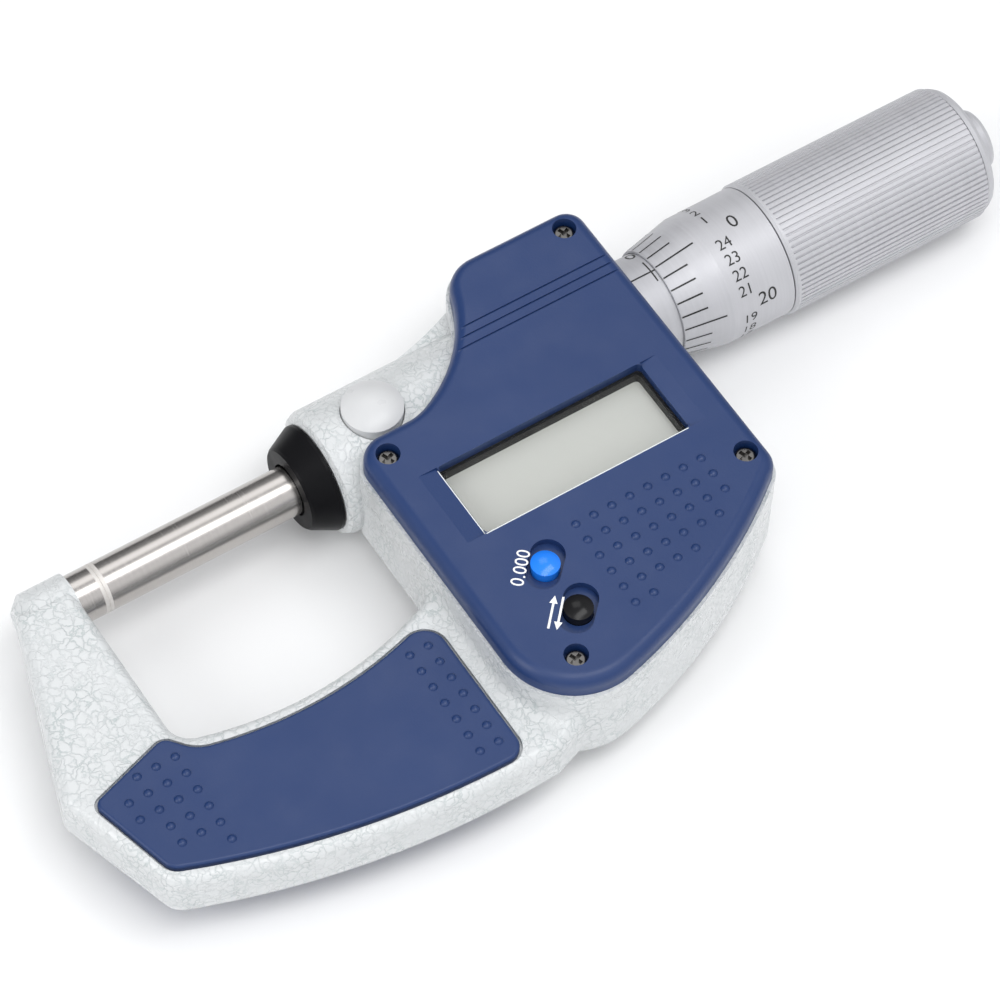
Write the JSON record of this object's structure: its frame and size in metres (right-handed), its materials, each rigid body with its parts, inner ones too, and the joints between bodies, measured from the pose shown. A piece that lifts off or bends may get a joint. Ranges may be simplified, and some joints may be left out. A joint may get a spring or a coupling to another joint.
{
  "type": "outside micrometer",
  "caption": "Digital outside micrometer with a C-shaped enamelled frame, spindle and anvil, graduated thimble with friction drive, spindle lock and a display cover with two buttons.",
  "frame": {"origin": "on the spindle axis, in the plane where the anvil face and the closed spindle face meet", "axes": "+X along the spindle from the anvil towards the thimble, +Z out of the display, -Y towards the bottom of the C-shaped frame"},
  "size_m": [0.1479, 0.0612, 0.0207],
  "materials": {
    "enamel": "hammered crackle enamel",
    "ground_steel": "ground and lapped",
    "carbide": "lapped carbide",
    "navy_plastic": "satin moulded",
    "bronze": "turned bronze",
    "grey_plastic": "smooth moulded",
    "rubber": "moulded",
    "screw_steel": "zinc plated",
    "clear_window": "clear acrylic",
    "black_plastic": "moulded",
    "lcd_glass": "grey-green display glass",
    "board": "solder resist",
    "cell_steel": "nickel plated",
    "brass": "plated spring metal",
    "felt": "oiled felt",
    "satin_chrome": "satin chrome plate",
    "black_finish": "satin black",
    "blue_button": "glossy",
    "black_button": "glossy"
  },
  "bodies": {
    "frame": {"frame": "enamel", "anvil": "ground_steel", "anvil_tip": "carbide", "insulating_plate_front": "navy_plastic", "insulating_plate_back": "navy_plastic", "lock_collet": "bronze", "lock_roller": "ground_steel", "hub_plug": "grey_plastic", "front_cover": "navy_plastic", "cover_gasket": "rubber", "cover_screws": "screw_steel", "lcd_window": "clear_window", "lcd_holder": "black_plastic", "lcd_panel": "lcd_glass", "contact_strips": "rubber", "circuit_board": "board", "board_screws": "screw_steel", "switches": "black_plastic", "battery": "cell_steel", "battery_holder": "black_plastic", "battery_contacts": "brass", "stator_holder": "black_plastic", "encoder_stator": "board", "stator_pins": "brass", "thrust_washer": "ground_steel", "rotor_spring": "ground_steel", "front_bush": "bronze", "spindle_wiper": "felt", "inner_sleeve": "ground_steel", "outer_sleeve": "satin_chrome", "adjusting_nut": "ground_steel"},
    "encoder_rotor": {"encoder_rotor": "board", "rotor_bush": "black_plastic", "rotor_key": "ground_steel"},
    "spindle": {"spindle": "ground_steel", "spindle_tip": "carbide", "thimble": "satin_chrome", "thimble_screw": "screw_steel", "friction_spring": "ground_steel"},
    "friction_barrel": {"friction_sleeve": "satin_chrome", "end_cap": "satin_chrome"},
    "lock_ring": {"lock_ring": "black_finish"},
    "origin_button": {"origin_button": "blue_button"},
    "unit_button": {"unit_button": "black_button"},
    "battery_cap": {"battery_cap": "black_plastic", "battery_cap_seal": "rubber"}
  },
  "joints": [
    {"name": "spindle_turn", "type": "hinge", "parent": "frame", "child": "encoder_rotor", "pos_m": [0.06, 0, 0], "axis": [1, 0, 0], "range_deg": [0, 14400]},
    {"name": "spindle_feed", "type": "slide", "parent": "encoder_rotor", "child": "spindle", "axis": [1, 0, 0], "range_m": [0, 0.0254]},
    {"name": "friction_slip", "type": "hinge", "parent": "spindle", "child": "friction_barrel", "pos_m": [0.11, 0, 0], "axis": [1, 0, 0], "continuous": true},
    {"name": "lock_ring_turn", "type": "hinge", "parent": "frame", "child": "lock_ring", "pos_m": [0.03, 0, 0], "axis": [1, 0, 0], "range_deg": [0, 40]},
    {"name": "origin_button_press", "type": "slide", "parent": "frame", "child": "origin_button", "axis": [0, 0, -1], "range_m": [0, 0.0005], "stiffness_N_per_m": 3000},
    {"name": "unit_button_press", "type": "slide", "parent": "frame", "child": "unit_button", "axis": [0, 0, -1], "range_m": [0, 0.0005], "stiffness_N_per_m": 3000},
    {"name": "battery_cap_turn", "type": "hinge", "parent": "frame", "child": "battery_cap", "pos_m": [0.0595, -0.031, -0.0047], "axis": [0, 0, -1], "range_deg": [0, 60]}
  ],
  "couplings": [
    {"joint": "spindle_turn", "follows": "spindle_feed", "rad_per_m": 9894.7}
  ]
}
